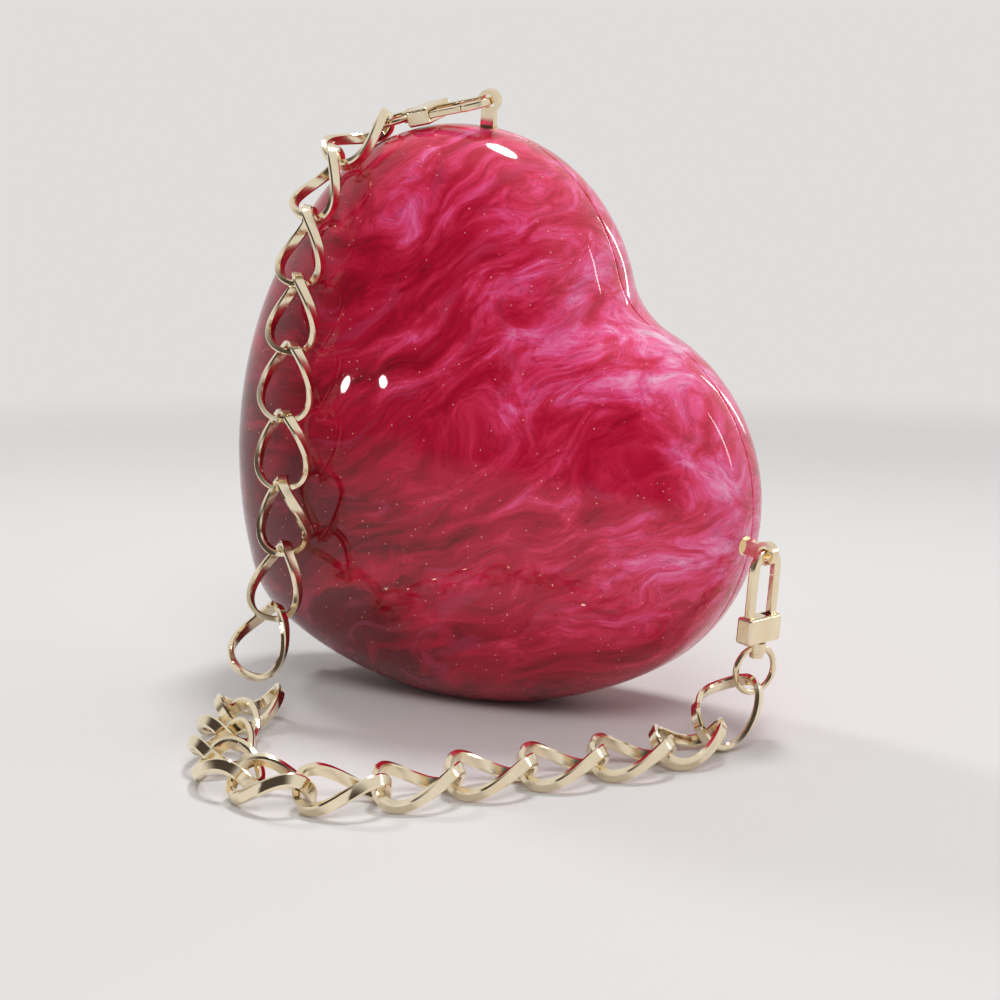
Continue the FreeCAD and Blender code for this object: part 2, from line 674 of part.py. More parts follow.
def route(start, steps, levels):
    """Start and place of each link along a run; the first ones come down to the given levels."""
    places = []
    joint = start
    for number, (turn, slope, face_turn, face_slope, slack) in enumerate(steps):
        run = size("link_pitch") - slack
        along = heading(turn, slope)
        if number < len(levels):
            rise = (levels[number] - joint.z) / run
            along = square(along, Z) * math.sqrt(1 - rise ** 2) + Z * rise
        face = square(heading(face_turn, face_slope), along)
        places.append((joint, frame(joint + along * HALF_PITCH, along, face)))
        joint = joint + along * run
    return places


def start_of(letter):
    """Joint between a hook's ring and its first link, inside the ring."""
    turn = math.radians(size("ring_%s_angle" % letter))
    reach = size("ring_radius") - size("ring_wire") - size("link_gap") / 2 - size("ring_%s_play" % letter)
    inside = Vector(reach * math.sin(turn), 0, RING_MIDDLE - reach * math.cos(turn))
    return RINGS[letter].multVec(inside)


RUN_A = route(start_of("a"), FALL, [])
RUN_B = route(start_of("b"), LIE, [LIE_LEVEL + size("floor_step"), LIE_LEVEL])

body_tools = lug_tools("a", LUGS["a"]) + lug_tools("b", LUGS["b"])
make_half("body_shell", BODY, body_tools)
make_half("lid_shell", LID, [])

sides = [(-SIDE_MIDDLE, SIDE_KNUCKLE), (SIDE_MIDDLE, SIDE_KNUCKLE)]
centre = [(0, "knuckle_length")]
make_leaf("body_hinge_leaf", BODY, sides, centre)
make_leaf("lid_hinge_leaf", LID, centre, sides)

pin_shank = hinge_rod("hinge_pin_shank", 0, "pin_radius", "hinge_length")
pin_end = (size("hinge_length") + size("pin_head_height")) / 2
pin_heads = [hinge_rod("hinge_pin_head_%d" % number, side * pin_end, "pin_head_radius", "pin_head_height")
             for number, side in enumerate((-1, 1))]
node("hinge_pin", fuse("hinge_pin_solid", pin_shank, *pin_heads), BODY)

for half, place in (("body", BODY), ("lid", LID)):
    for number, point in enumerate(SCREWS, start=1):
        make_screw("%s_hinge_screw_%d" % (half, number), place, point)
    for number, point in enumerate(MAGNETS, start=1):
        label = "%s_magnet_%d" % (half, number)
        disc = cylinder(label, at(0, 0, 0), "magnet_radius", "magnet_height")
        node(label, disc, place * Placement(point, Rotation()))

for letter in ("a", "b"):
    make_lug(letter, LUGS[letter])
    make_hook(letter, HOOKS[letter])
    make_ring(letter, RINGS[letter])

for number, (joint, place) in enumerate(RUN_A + RUN_B[::-1], start=1):
    label = "chain_link_%02d" % number
    node(label, solid(label, LINK), place)

doc.recompute()

for piece in doc.Objects:
    if "Invalid" in piece.State or "Error" in piece.State:
        raise RuntimeError("%s could not be made: %s" % (piece.Label, piece.State))
for piece in nodes:
    if piece.Shape.isNull() or not piece.Shape.isValid() or len(piece.Shape.Solids) != 1:
        raise RuntimeError("%s is not one good solid" % piece.Label)

os.makedirs("parts", exist_ok=True)
for piece in nodes:
    piece.Shape.exportStep("parts/%s.step" % piece.Label)
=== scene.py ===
import json
import math

import bmesh
import bpy
from mathutils import Matrix, Vector


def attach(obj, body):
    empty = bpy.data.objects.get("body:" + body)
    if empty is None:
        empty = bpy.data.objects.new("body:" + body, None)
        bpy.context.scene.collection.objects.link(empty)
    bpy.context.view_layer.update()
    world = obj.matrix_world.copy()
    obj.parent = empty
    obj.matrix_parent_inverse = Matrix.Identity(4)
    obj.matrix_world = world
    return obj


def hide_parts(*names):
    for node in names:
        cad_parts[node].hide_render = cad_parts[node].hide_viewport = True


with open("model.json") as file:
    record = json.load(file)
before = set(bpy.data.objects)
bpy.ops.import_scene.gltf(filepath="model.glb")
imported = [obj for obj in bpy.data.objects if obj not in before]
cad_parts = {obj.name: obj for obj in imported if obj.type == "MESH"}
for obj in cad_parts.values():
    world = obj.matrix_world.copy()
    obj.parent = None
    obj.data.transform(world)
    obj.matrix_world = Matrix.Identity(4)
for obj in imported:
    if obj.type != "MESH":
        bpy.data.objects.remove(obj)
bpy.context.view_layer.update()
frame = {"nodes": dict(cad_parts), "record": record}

# Heart, in metres: the driving sizes of the two half shells.
LOBE_RADIUS = 0.056
LOBE_OFFSET = 0.034
TIP_RADIUS = 0.028
TIP_OFFSET = 0.081
FLANK_RADIUS = 0.125
CLEFT_RADIUS = 0.026
HALF_DEPTH = 0.038
CROWN_OFFSET = 0.025
PLAN_POWER = 2.55
RISE_POWER = 2.5
WALL = 0.003
SEAM = 0.0002
STAND_ANGLE = math.radians(52.5)
FOOT_DEPTH = 0.0012
TIP_BLOCK = 0.014
RIM_ROUND = 0.0004

# Hinge recess at the tip and magnet bosses beside the cleft.
HINGE_OFFSET = 0.0006
HINGE_LENGTH = 0.024
LEAF_DEPTH = 0.010
LEAF_THICKNESS = 0.0012
GROOVE_RADIUS = 0.0026
GROOVE_LENGTH = 0.0248
MAGNET_INSET = 0.0065
MAGNET_ANGLE = math.radians(14.3)
MAGNET_HEIGHT = 0.002
POCKET_RADIUS = 0.00305
BOSS_RADIUS = 0.0046
BOSS_HEIGHT = 0.0036
BOSS_ROUND = 0.0005

# Fineness of the shell meshes.
ARC_STEP = 0.0022
DOME_RINGS = 72
RING_CROWDING = 1.3
RIM_STEPS = 5
ROUND_SEGMENTS = 48
ARC_LEAST_STEPS = 4
SHARP_ANGLE = math.radians(40)

# Camera.
EYE = Vector((0.2580, -0.4333, 0.1386))
CAMERA_RIGHT = Vector((0.866, 0.500, 0.0))
CAMERA_UP = Vector((-0.077, 0.133, 0.988))
SENSOR_WIDTH = 36.0
FOCAL_SHARE = 1.6586
CLIP_START = 0.01

# Stage.
FLOOR_RADIUS = 3.0
FLOOR_FADE_START = 0.35
FLOOR_FADE_END = 1.1
FLOOR_RINGS = 24
FLOOR_SEGMENTS = 96
FLOOR_COLOUR = (0.80, 0.785, 0.78)
BACKDROP_COLOUR = (0.745, 0.728, 0.718, 1)
OBJECT_MIDDLE = Vector((0.0, 0.0, 0.09))


# Heart outline: six tangent arcs, x across, y from tip to cleft.

LOBE = Vector((LOBE_OFFSET, 0))
TIP = Vector((0, -TIP_OFFSET))
CROWN = Vector((0, -CROWN_OFFSET))
CLEFT = Vector((0, math.sqrt((LOBE_RADIUS + CLEFT_RADIUS) ** 2 - LOBE_OFFSET ** 2)))


def flank_centre():
    """Centre of the right flank's arc, which touches the lobe and the tip from outside."""
    near = FLANK_RADIUS - LOBE_RADIUS
    far = FLANK_RADIUS - TIP_RADIUS
    span = TIP - LOBE
    along = (near ** 2 - far ** 2 + span.length_squared) / (2 * span.length)
    aside = math.sqrt(near ** 2 - along ** 2)
    direction = span.normalized()
    return LOBE + direction * along + Vector((direction.y, -direction.x)) * aside


FLANK = flank_centre()


def bearing(vector):
    """Angle of a direction in the seam plane."""
    return math.atan2(vector.y, vector.x)


def arc(centre, radius, start, end):
    """Points along an arc, without its last one."""
    steps = max(ARC_LEAST_STEPS, round(abs(end - start) * radius / ARC_STEP))
    angles = [start + (end - start) * step / steps for step in range(steps)]
    return [(centre, Vector((math.cos(angle), math.sin(angle)))) for angle in angles]


def right_side():
    """Centres and directions of the points of the right half of the outline, from tip to cleft."""
    to_tip = bearing(TIP - FLANK)
    to_lobe = bearing(LOBE - FLANK)
    to_cleft = bearing(CLEFT - LOBE)
    quarter = math.pi / 2
    sides = []
    sides.append(("tip", arc(TIP, TIP_RADIUS, -quarter, to_tip)))
    sides.append(("flank", arc(FLANK, FLANK_RADIUS, to_tip, to_lobe)))
    sides.append(("lobe", arc(LOBE, LOBE_RADIUS, to_lobe, to_cleft)))
    sides.append(("cleft", arc(CLEFT, CLEFT_RADIUS, to_cleft - math.pi, -quarter)))
    return sides


RIGHT_SIDE = right_side()
RADII = {"tip": TIP_RADIUS, "flank": FLANK_RADIUS, "lobe": LOBE_RADIUS, "cleft": CLEFT_RADIUS}


def outline(inset):
    """Closed outline of the heart, drawn in by an inset."""
    half = []
    for name, points in RIGHT_SIDE:
        radius = RADII[name] + (inset if name == "cleft" else -inset)
        half += [centre + direction * radius for centre, direction in points]
    half.append(CLEFT + Vector((0, -CLEFT_RADIUS - inset)))
    mirrored = [Vector((-point.x, point.y)) for point in half[-2:0:-1]]
    return half + mirrored


def dome_rings(inset, depth, first_height):
    """Rings of a dome, from a height above the seam to just below its crown."""
    base = outline(inset)
    rise = depth - SEAM
    start = math.asin(((first_height - SEAM) / rise) ** (RISE_POWER / 2))
    rings = []
    for number in range(DOME_RINGS):
        share = (number / DOME_RINGS) ** RING_CROWDING
        angle = start + (math.pi / 2 - start) * share
        scale = math.cos(angle) ** (2 / PLAN_POWER)
        height = SEAM + rise * math.sin(angle) ** (2 / RISE_POWER)
        rings.append([(CROWN + (point - CROWN) * scale).to_3d() + Vector((0, 0, height)) for point in base])
    return rings


def rim_rings():
    """Rounded outer edge of the rim, from the seam face to the dome's wall."""
    rings = []
    for step in range(RIM_STEPS):
        angle = math.pi / 2 * step / RIM_STEPS
        inset = RIM_ROUND * (1 - math.sin(angle))
        height = SEAM + RIM_ROUND * (1 - math.cos(angle))
        rings.append([point.to_3d() + Vector((0, 0, height)) for point in outline(inset)])
    return rings


# The heart stands on its left flank, turned and lifted onto the foot flat.

STAND = Matrix.Rotation(STAND_ANGLE, 4, "Y") @ Matrix.Rotation(math.pi / 2, 4, "X")
FLANK_PLACE = STAND @ FLANK.to_3d()
LIFT = FLANK_RADIUS - FOOT_DEPTH - FLANK_PLACE.z
BODY = Matrix.Translation((-FLANK_PLACE.x, 0, LIFT)) @ STAND
LID = BODY @ Matrix.Rotation(math.pi, 4, "Y")
HINGE_LINE = -(TIP_OFFSET + TIP_RADIUS + HINGE_OFFSET)


def mesh_object(name, build):
    """Object whose mesh a function builds."""
    mesh = bpy.data.meshes.new(name)
    shape = bmesh.new()
    build(shape)
    bmesh.ops.recalc_face_normals(shape, faces=shape.faces)
    shape.to_mesh(mesh)
    shape.free()
    piece = bpy.data.objects.new(name, mesh)
    bpy.context.scene.collection.objects.link(piece)
    return piece


def skin(shape, rings):
    """Quads between rings that follow each other."""
    for lower, upper in zip(rings, rings[1:]):
        count = len(lower)
        for index in range(count):
            after = (index + 1) % count
            shape.faces.new((lower[index], lower[after], upper[after], upper[index]))


def cap(shape, ring, point):
    """Triangles from a ring to one point."""
    top = shape.verts.new(point)
    for index, vert in enumerate(ring):
        shape.faces.new((vert, ring[(index + 1) % len(ring)], top))


def on_foot(point, place, level):
    """Point in the row frame, held above the flat foot."""
    world = place @ point
    world.z = max(world.z, level)
    return world


def half_shell(place):
    """Builder of one half shell: outer dome, rounded rim, seam face and cavity."""
    tip_wall = -(TIP_OFFSET + TIP_RADIUS) + TIP_BLOCK
    outer = rim_rings() + dome_rings(0, HALF_DEPTH, SEAM + RIM_ROUND)
    inner = [[point.to_3d() + Vector((0, 0, SEAM)) for point in outline(WALL)]]
    inner += dome_rings(WALL, HALF_DEPTH - WALL, SEAM + RIM_ROUND)
    for ring in inner:
        for point in ring:
            point.y = max(point.y, tip_wall)
    crown = CROWN.to_3d()

    def build(shape):
        outside = [[shape.verts.new(on_foot(point, place, 0)) for point in ring] for ring in outer]
        inside = [[shape.verts.new(on_foot(point, place, WALL)) for point in ring] for ring in inner]
        skin(shape, outside)
        skin(shape, inside)
        skin(shape, [outside[0], inside[0]])
        cap(shape, outside[-1], place @ (crown + Vector((0, 0, HALF_DEPTH))))
        cap(shape, inside[-1], place @ (crown + Vector((0, 0, HALF_DEPTH - WALL))))
    return build


def lathe(profile, place):
    """Builder of a turned shape: radius and height pairs, closed on the axis at both ends."""
    def build(shape):
        rings = []
        for radius, height in profile[1:-1]:
            ring = []
            for step in range(ROUND_SEGMENTS):
                angle = 2 * math.pi * step / ROUND_SEGMENTS
                spot = Vector((radius * math.cos(angle), radius * math.sin(angle), height))
                ring.append(shape.verts.new(place @ spot))
            rings.append(ring)
        skin(shape, rings)
        cap(shape, rings[0], place @ Vector((0, 0, profile[0][1])))
        cap(shape, rings[-1], place @ Vector((0, 0, profile[-1][1])))
    return build


def cuboid(low, high, place):
    """Builder of a box between two corners."""
    def build(shape):
        middle = (low + high) / 2
        size = Matrix.Diagonal((high - low).to_4d())
        size[3][3] = 1
        bmesh.ops.create_cube(shape, size=1, matrix=place @ Matrix.Translation(middle) @ size)
    return build


def cut_away(piece, tool):
    """Takes a tool's shape out of a piece."""
    modifier = piece.modifiers.new("cut", "BOOLEAN")
    modifier.operation = "DIFFERENCE"
    modifier.solver = "EXACT"
    modifier.object = tool
    view = bpy.context.evaluated_depsgraph_get()
    result = bpy.data.meshes.new_from_object(piece.evaluated_get(view))
    piece.modifiers.clear()
    spare = piece.data
    piece.data = result
    result.name = piece.name
    bpy.data.meshes.remove(spare)
    bpy.data.objects.remove(tool)


def smooth(piece):
    """Smooth shading that keeps sharp edges."""
    for face in piece.data.polygons:
        face.use_smooth = True
    piece.data.set_sharp_from_angle(angle=SHARP_ANGLE)


def magnet_spots():
    """Middle of each magnet pocket on the seam face."""
    reach = LOBE_RADIUS - MAGNET_INSET
    across = LOBE_OFFSET - reach * math.sin(MAGNET_ANGLE)
    return [Vector((side * across, reach * math.cos(MAGNET_ANGLE), 0)) for side in (-1, 1)]


# Materials.

# Sockets of the colour mix.
COLOUR_A = 6
COLOUR_B = 7
COLOUR_OUT = 2


def new_material(name):
    """Material with its tree, main shader and object coordinates."""
    material = bpy.data.materials.new(name)
    material.use_nodes = True
    tree = material.node_tree
    shader = tree.nodes["Principled BSDF"]
    place = tree.nodes.new("ShaderNodeTexCoord")
    return material, tree, shader, place.outputs["Object"]


def wire(tree, source, target):
    """Sets a socket to a value, or links another socket to it."""
    if isinstance(source, bpy.types.NodeSocket):
        tree.links.new(source, target)
    else:
        target.default_value = source


def maths(tree, operation, first, second=0.0, third=0.0):
    """Result of one sum."""
    node = tree.nodes.new("ShaderNodeMath")
    node.operation = operation
    for source, target in zip((first, second, third), node.inputs):
        wire(tree, source, target)
    return node.outputs["Value"]


def vector_maths(tree, operation, first, second):
    """Result of one vector sum."""
    node = tree.nodes.new("ShaderNodeVectorMath")
    node.operation = operation
    wire(tree, first, node.inputs[0])
    wire(tree, second, node.inputs["Scale"] if operation == "SCALE" else node.inputs[1])
    return node.outputs["Value"] if operation == "DOT_PRODUCT" else node.outputs["Vector"]


def noise(tree, vector, scale, detail, roughness=0.5, distortion=0.0):
    """Noise texture."""
    node = tree.nodes.new("ShaderNodeTexNoise")
    wire(tree, vector, node.inputs["Vector"])
    node.inputs["Scale"].default_value = scale
    node.inputs["Detail"].default_value = detail
    node.inputs["Roughness"].default_value = roughness
    node.inputs["Distortion"].default_value = distortion
    return node


def ramp(tree, factor, stops):
    """Colour ramp with stops of place and colour."""
    node = tree.nodes.new("ShaderNodeValToRGB")
    tree.links.new(factor, node.inputs["Fac"])
    elements = node.color_ramp.elements
    while len(elements) < len(stops):
        elements.new(1.0)
    for element, (position, colour) in zip(elements, stops):
        element.position = position
        element.color = (*colour, 1)
    return node.outputs["Color"]


def span(tree, value, low, high, out_low=0.0, out_high=1.0):
    """Value carried smoothly from one span to another."""
    node = tree.nodes.new("ShaderNodeMapRange")
    node.interpolation_type = "SMOOTHSTEP"
    for source, target in zip((value, low, high, out_low, out_high), node.inputs):
        wire(tree, source, target)
    return node.outputs["Result"]


def mixed(tree, factor, first, second):
    """Mix of two colours."""
    node = tree.nodes.new("ShaderNodeMix")
    node.data_type = "RGBA"
    wire(tree, factor, node.inputs["Factor"])
    wire(tree, first, node.inputs[COLOUR_A])
    wire(tree, second, node.inputs[COLOUR_B])
    return node.outputs[COLOUR_OUT]


def bump(tree, shader, height, distance, strength, socket="Normal"):
    """Relief on a shader's normal."""
    node = tree.nodes.new("ShaderNodeBump")
    node.inputs["Distance"].default_value = distance
    node.inputs["Strength"].default_value = strength
    tree.links.new(height, node.inputs["Height"])
    tree.links.new(node.outputs["Normal"], shader.inputs[socket])


def set_sockets(shader, values):
    """Sets a shader's own sockets to plain values."""
    for socket, value in values.items():
        shader.inputs[socket].default_value = value


# Marbled acrylic. A field is a noise's scale, detail, roughness and distortion, a span is the limits read and
# the values given for them, and a relief is a depth in metres and a strength.
FLOW_ANGLE = math.radians(28)
FLOW_STRETCH = (1.0, 2.2, 3.4)
# Painted light: the marble colour is lifted towards +x and upwards, so the side and top where the light falls
# come out paler and pinker.
PAINTED_LIGHT_SIDE = (4.6, 0.0, 2.5)
WARPS = ((11.0, 0.060), (34.0, 0.018))
WARP_DETAIL = 2
NOISE_MIDDLE = 0.5
BROAD_FIELD = (11, 3, 0.5, 0.8)
STREAK_FIELD = (30, 9, 0.68, 1.0)
STREAK_WEIGHT = 1.45
LEVEL_SHIFT = -1.09
CURL_FIELD = (21, 3, 0.5, 1.6)
CURL_SPAN = (0.56, 0.66, 0.0, 0.30)
CURL_COLOUR = (0.58, 0.060, 0.16, 1)
VEIN_FIELD = (30, 6, 0.6, 1.8)
VEIN_SPAN = (0.0, 0.022, 0.30, 0.0)
VEIN_COLOUR = (0.20, 0.004, 0.02, 1)
FLECK_SCALE = 650
FLECK_PICK = (0.86, 0.90)
FLECK_SPAN = (0.08, 0.20, 1.0, 0.0)
# Painted glints: pale specks in the base colour stand for the sparkle of pearl glitter.
GLINT_FLECK_COLOUR = (0.98, 0.42, 0.36, 1)
HAZE_FIELD = (60, 4)
HAZE_SPAN = (0.3, 0.7, 0.18, 0.34)
RIPPLE_FIELD = (38, 2)
RIPPLE_RELIEF = (0.0006, 0.12)
ACRYLIC_SOCKETS = {
    "IOR": 1.49,
    "Specular IOR Level": 0.05,
    "Coat Weight": 0.8,
    "Coat Roughness": 0.025,
    "Coat IOR": 1.5,
}
MARBLE_STOPS = [
    (0.00, (0.17, 0.001, 0.008)),
    (0.20, (0.36, 0.002, 0.020)),
    (0.38, (0.54, 0.005, 0.040)),
    (0.50, (0.63, 0.014, 0.058)),
    (0.62, (0.80, 0.034, 0.115)),
    (0.75, (0.93, 0.095, 0.290)),
    (0.88, (0.98, 0.260, 0.500)),
    (1.00, (0.98, 0.520, 0.700)),
]


def marbled_acrylic():
    """Polished cast acrylic: crimson and pearly pink drawn out in one flow, dark lines and curls, painted
    light that makes the colour paler and pinker towards +x and upwards, and pale specks painted in as glints
    of pearl glitter.
    """
    material, tree, shader, place = new_material("marbled_acrylic")
    warped = place
    for scale, reach in WARPS:
        drift = noise(tree, place, scale, WARP_DETAIL).outputs["Color"]
        push = vector_maths(tree, "SUBTRACT", drift, (NOISE_MIDDLE, NOISE_MIDDLE, NOISE_MIDDLE))
        warped = vector_maths(tree, "ADD", warped, vector_maths(tree, "SCALE", push, reach))
    turn = tree.nodes.new("ShaderNodeVectorRotate")
    turn.rotation_type = "Y_AXIS"
    turn.inputs["Angle"].default_value = FLOW_ANGLE
    tree.links.new(warped, turn.inputs["Vector"])
    flow = vector_maths(tree, "MULTIPLY", turn.outputs["Vector"], FLOW_STRETCH)
    broad = noise(tree, flow, *BROAD_FIELD).outputs["Fac"]
    streaks = noise(tree, flow, *STREAK_FIELD).outputs["Fac"]
    # Painted light: a colour lift that grows towards +x and upwards, laid over the marble's own streaks.
    painted_light_lift = vector_maths(tree, "DOT_PRODUCT", place, PAINTED_LIGHT_SIDE)
    level = maths(tree, "ADD", broad, maths(tree, "MULTIPLY_ADD", streaks, STREAK_WEIGHT, LEVEL_SHIFT))
    level = maths(tree, "ADD", level, painted_light_lift)
    colour = ramp(tree, level, MARBLE_STOPS)
    curls = span(tree, noise(tree, flow, *CURL_FIELD).outputs["Fac"], *CURL_SPAN)
    colour = mixed(tree, curls, colour, CURL_COLOUR)
    vein = noise(tree, flow, *VEIN_FIELD).outputs["Fac"]
    vein = maths(tree, "ABSOLUTE", maths(tree, "SUBTRACT", vein, NOISE_MIDDLE))
    colour = mixed(tree, span(tree, vein, *VEIN_SPAN), colour, VEIN_COLOUR)
    # Painted glints: a few randomly picked cells get pale specks in the base colour.
    cells = tree.nodes.new("ShaderNodeTexVoronoi")
    cells.inputs["Scale"].default_value = FLECK_SCALE
    tree.links.new(place, cells.inputs["Vector"])
    pick = tree.nodes.new("ShaderNodeSeparateColor")
    tree.links.new(cells.outputs["Color"], pick.inputs["Color"])
    chosen = span(tree, pick.outputs["Red"], *FLECK_PICK)
    glint_fleck = maths(tree, "MULTIPLY", chosen, span(tree, cells.outputs["Distance"], *FLECK_SPAN))
    colour = mixed(tree, glint_fleck, colour, GLINT_FLECK_COLOUR)
    tree.links.new(colour, shader.inputs["Base Color"])
    haze = noise(tree, flow, *HAZE_FIELD).outputs["Fac"]
    tree.links.new(span(tree, haze, *HAZE_SPAN), shader.inputs["Roughness"])
    set_sockets(shader, ACRYLIC_SOCKETS)
    ripple = noise(tree, place, *RIPPLE_FIELD).outputs["Fac"]
    bump(tree, shader, ripple, *RIPPLE_RELIEF, "Coat Normal")
    return material


# Plated metal and floor.
PATCH_FIELD = (160, 4, 0.6)
PATCH_LIMITS = (0.35, 0.65)
SMEAR_FIELD = (420, 3)
SMEAR_LIMITS = (0.3, 0.7)
SMEAR_SHARES = (0.7, 1.4)
GRAIN_DETAIL = 5
GRAIN_ROUGHNESS = 0.7
GRAIN_RELIEF = (0.00006, 0.25)
METAL_SOCKETS = {"Metallic": 1.0}
TINT_FIELD = (2.2, 3)
TINT_LIMITS = (0.3, 0.7)
TINT_SHARE = 0.985
FLOOR_GRAIN_FIELD = (900, 2)
FLOOR_GRAIN_RELIEF = (0.0001, 0.1)
FLOOR_SOCKETS = {"Roughness": 0.75, "Specular IOR Level": 0.15}


def polished_metal(name, pale, deep, roughness, grain):
    """Plated metal: tone, gloss and fine polishing marks vary over the surface."""
    material, tree, shader, place = new_material(name)
    patches = noise(tree, place, *PATCH_FIELD).outputs["Fac"]
    stops = list(zip(PATCH_LIMITS, (deep, pale)))
    tree.links.new(ramp(tree, patches, stops), shader.inputs["Base Color"])
    set_sockets(shader, METAL_SOCKETS)
    smear = noise(tree, place, *SMEAR_FIELD).outputs["Fac"]
    gloss = [roughness * share for share in SMEAR_SHARES]
    tree.links.new(span(tree, smear, *SMEAR_LIMITS, *gloss), shader.inputs["Roughness"])
    marks = noise(tree, place, grain, GRAIN_DETAIL, GRAIN_ROUGHNESS).outputs["Fac"]
    bump(tree, shader, marks, *GRAIN_RELIEF)
    return material


def floor_material():
    """Pale matt surface that fades into the backdrop far from the purse."""
    material, tree, shader, place = new_material("pale_floor")
    tint = noise(tree, place, *TINT_FIELD).outputs["Fac"]
    deep = tuple(TINT_SHARE * part for part in FLOOR_COLOUR)
    stops = list(zip(TINT_LIMITS, (deep, FLOOR_COLOUR)))
    tree.links.new(ramp(tree, tint, stops), shader.inputs["Base Color"])
    set_sockets(shader, FLOOR_SOCKETS)
    reach = tree.nodes.new("ShaderNodeVectorMath")
    reach.operation = "LENGTH"
    tree.links.new(place, reach.inputs[0])
    fade = span(tree, reach.outputs["Value"], FLOOR_FADE_START, FLOOR_FADE_END, 1.0, 0.0)
    tree.links.new(fade, shader.inputs["Alpha"])
    grain = noise(tree, place, *FLOOR_GRAIN_FIELD).outputs["Fac"]
    bump(tree, shader, grain, *FLOOR_GRAIN_RELIEF)
    return material


ACRYLIC = marbled_acrylic()
GOLD = polished_metal("pale_gold", pale=(0.94, 0.82, 0.60), deep=(0.88, 0.72, 0.49),
                      roughness=0.11, grain=2600)
CHAIN_GOLD = polished_metal("chain_gold", pale=(0.95, 0.85, 0.64), deep=(0.90, 0.77, 0.54),
                            roughness=0.09, grain=2200)
STEEL = polished_metal("bright_steel", pale=(0.80, 0.80, 0.80), deep=(0.66, 0.66, 0.67),
                       roughness=0.16, grain=3000)
SLOT_MATERIALS = {
    "gold_hardware": GOLD,
    "chain_metal": CHAIN_GOLD,
    "spring_steel": STEEL,
    "magnet": STEEL,
    "marbled_acrylic": ACRYLIC,
}


def dress(piece, material):
    """Gives a piece one material."""
    piece.data.materials.clear()
    piece.data.materials.append(material)


for entry in frame["record"]["subparts"]:
    dress(frame["nodes"][entry["node"]], SLOT_MATERIALS[entry["material_slot"]])


# Half shells and the bosses that hold their magnets.

BOSS_PROFILE = [
    (0, SEAM + MAGNET_HEIGHT),
    (POCKET_RADIUS, SEAM + MAGNET_HEIGHT),
    (POCKET_RADIUS, SEAM),
    (BOSS_RADIUS, SEAM),
    (BOSS_RADIUS, SEAM + BOSS_HEIGHT - BOSS_ROUND),
    (BOSS_RADIUS - BOSS_ROUND, SEAM + BOSS_HEIGHT),
    (0, SEAM + BOSS_HEIGHT),
]
RECESS_LOW = Vector((-HINGE_LENGTH / 2, HINGE_LINE, -LEAF_THICKNESS))
RECESS_HIGH = Vector((HINGE_LENGTH / 2, HINGE_LINE + LEAF_DEPTH, SEAM + LEAF_THICKNESS))
GROOVE_PROFILE = [
    (0, -GROOVE_LENGTH / 2),
    (GROOVE_RADIUS, -GROOVE_LENGTH / 2),
    (GROOVE_RADIUS, GROOVE_LENGTH / 2),
    (0, GROOVE_LENGTH / 2),
]
ALONG_HINGE = Matrix.Translation((0, HINGE_LINE, 0)) @ Matrix.Rotation(math.pi / 2, 4, "Y")

for body, place in (("body", BODY), ("lid", LID)):
    shell = mesh_object(body + "_half", half_shell(place))
    cut_away(shell, mesh_object(body + "_recess", cuboid(RECESS_LOW, RECESS_HIGH, place)))
    cut_away(shell, mesh_object(body + "_groove", lathe(GROOVE_PROFILE, place @ ALONG_HINGE)))
    smooth(shell)
    dress(shell, ACRYLIC)
    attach(shell, body)
    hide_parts(body + "_shell")
    for number, spot in enumerate(magnet_spots(), start=1):
        turned = lathe(BOSS_PROFILE, place @ Matrix.Translation(spot))
        boss = mesh_object("%s_boss_%d" % (body, number), turned)
        smooth(boss)
        dress(boss, ACRYLIC)
        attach(boss, body)


# Floor, backdrop, lamps and camera.

def floor_disc(shape):
    """Round floor in rings."""
    rings = []
    for number in range(1, FLOOR_RINGS + 1):
        radius = FLOOR_RADIUS * number / FLOOR_RINGS
        ring = []
        for step in range(FLOOR_SEGMENTS):
            angle = 2 * math.pi * step / FLOOR_SEGMENTS
            ring.append(shape.verts.new((radius * math.cos(angle), radius * math.sin(angle), 0)))
        rings.append(ring)
    skin(shape, rings)
    cap(shape, rings[0], (0, 0, 0))


floor = mesh_object("floor", floor_disc)
dress(floor, floor_material())


def direction(azimuth, elevation):
    """Unit vector from a compass angle and a slope, in degrees."""
    turn = math.radians(azimuth)
    slope = math.radians(elevation)
    return Vector((math.cos(slope) * math.cos(turn), math.cos(slope) * math.sin(turn), math.sin(slope)))


def lamp(name, azimuth, elevation, distance, size, watts, mirrored=True):
    """Soft oval lamp aimed at the middle of the purse."""
    light = bpy.data.lights.new(name, "AREA")
    light.shape = "ELLIPSE"
    light.size = size[0]
    light.size_y = size[1]
    light.energy = watts
    lamp_object = bpy.data.objects.new(name, light)
    away = direction(azimuth, elevation)
    lamp_object.location = OBJECT_MIDDLE + away * distance
    lamp_object.rotation_euler = away.to_track_quat("Z", "Y").to_euler()
    lamp_object.visible_camera = False
    lamp_object.visible_glossy = mirrored
    bpy.context.scene.collection.objects.link(lamp_object)


lamp("overhead", azimuth=95, elevation=76, distance=0.85, size=(0.20, 0.20), watts=3.0)
lamp("key", azimuth=158, elevation=42, distance=1.0, size=(0.16, 0.16), watts=2.2, mirrored=False)
lamp("front_fill", azimuth=-52, elevation=46, distance=1.1, size=(0.6, 0.6), watts=4.0, mirrored=False)
lamp("right_strip", azimuth=30, elevation=19, distance=0.8, size=(0.03, 0.34), watts=0.35)
lamp("back_strip", azimuth=72, elevation=17, distance=0.8, size=(0.03, 0.30), watts=0.25)
lamp("small_left", azimuth=-132, elevation=0, distance=0.9, size=(0.03, 0.03), watts=0.08)
lamp("small_front", azimuth=-124, elevation=0, distance=0.9, size=(0.025, 0.025), watts=0.08)

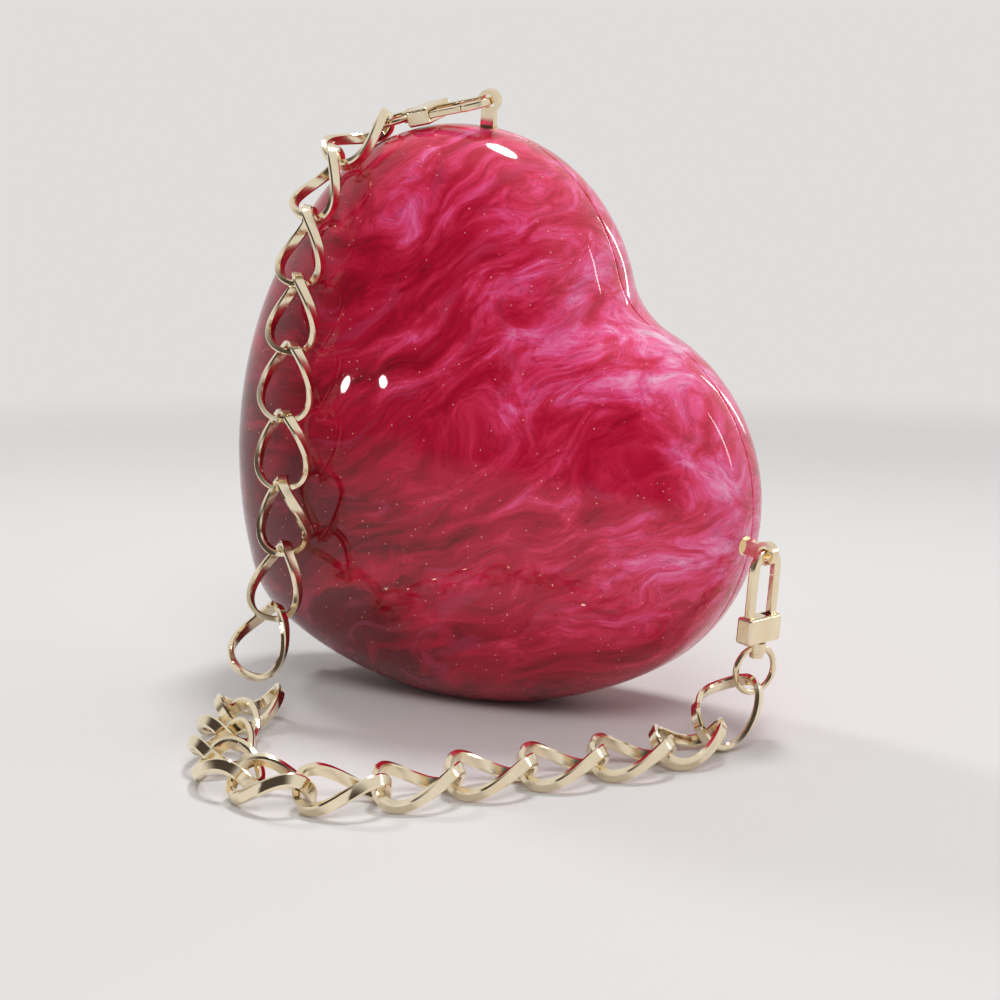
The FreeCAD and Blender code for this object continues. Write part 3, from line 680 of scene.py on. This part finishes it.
ROOM_DARK = (0.07, 0.055, 0.05, 1)
ROOM_PALE = (0.27, 0.265, 0.26, 1)
ROOM_TOP = (0.34, 0.34, 0.34, 1)
ROOM_SIDE = direction(azimuth=-95, elevation=8)
DIM_LIMITS = (0.25, 0.80)
HEIGHT_LIMITS = (0.15, 0.8)
UP = (0, 0, 1)
BACKDROP_STRENGTH = 1.0


def room():
    """Soft light all round; mirrors see the pale backdrop, with the dark of the room behind the viewer."""
    world = bpy.data.worlds.new("room")
    bpy.context.scene.world = world
    world.use_nodes = True
    tree = world.node_tree
    background = tree.nodes["Background"]
    place = tree.nodes.new("ShaderNodeTexCoord").outputs["Generated"]
    dim = span(tree, vector_maths(tree, "DOT_PRODUCT", place, ROOM_SIDE), *DIM_LIMITS)
    height = vector_maths(tree, "DOT_PRODUCT", place, UP)
    soft = mixed(tree, span(tree, height, *HEIGHT_LIMITS), ROOM_PALE, ROOM_TOP)
    seen = mixed(tree, dim, BACKDROP_COLOUR, ROOM_DARK)
    path = tree.nodes.new("ShaderNodeLightPath")
    colour = mixed(tree, path.outputs["Is Glossy Ray"], soft, seen)
    colour = mixed(tree, path.outputs["Is Transmission Ray"], colour, BACKDROP_COLOUR)
    colour = mixed(tree, path.outputs["Is Camera Ray"], colour, BACKDROP_COLOUR)
    tree.links.new(colour, background.inputs["Color"])
    background.inputs["Strength"].default_value = BACKDROP_STRENGTH


room()

camera_data = bpy.data.cameras.new("camera")
camera_data.sensor_width = SENSOR_WIDTH
camera_data.lens = SENSOR_WIDTH * FOCAL_SHARE
camera_data.clip_start = CLIP_START
camera = bpy.data.objects.new("camera", camera_data)
backward = CAMERA_RIGHT.cross(CAMERA_UP).normalized()
upward = backward.cross(CAMERA_RIGHT).normalized()
camera.matrix_world = Matrix((CAMERA_RIGHT.normalized(), upward, backward)).transposed().to_4x4()
camera.location = EYE
bpy.context.scene.collection.objects.link(camera)
bpy.context.scene.camera = camera
bpy.context.scene.view_settings.view_transform = "Standard"
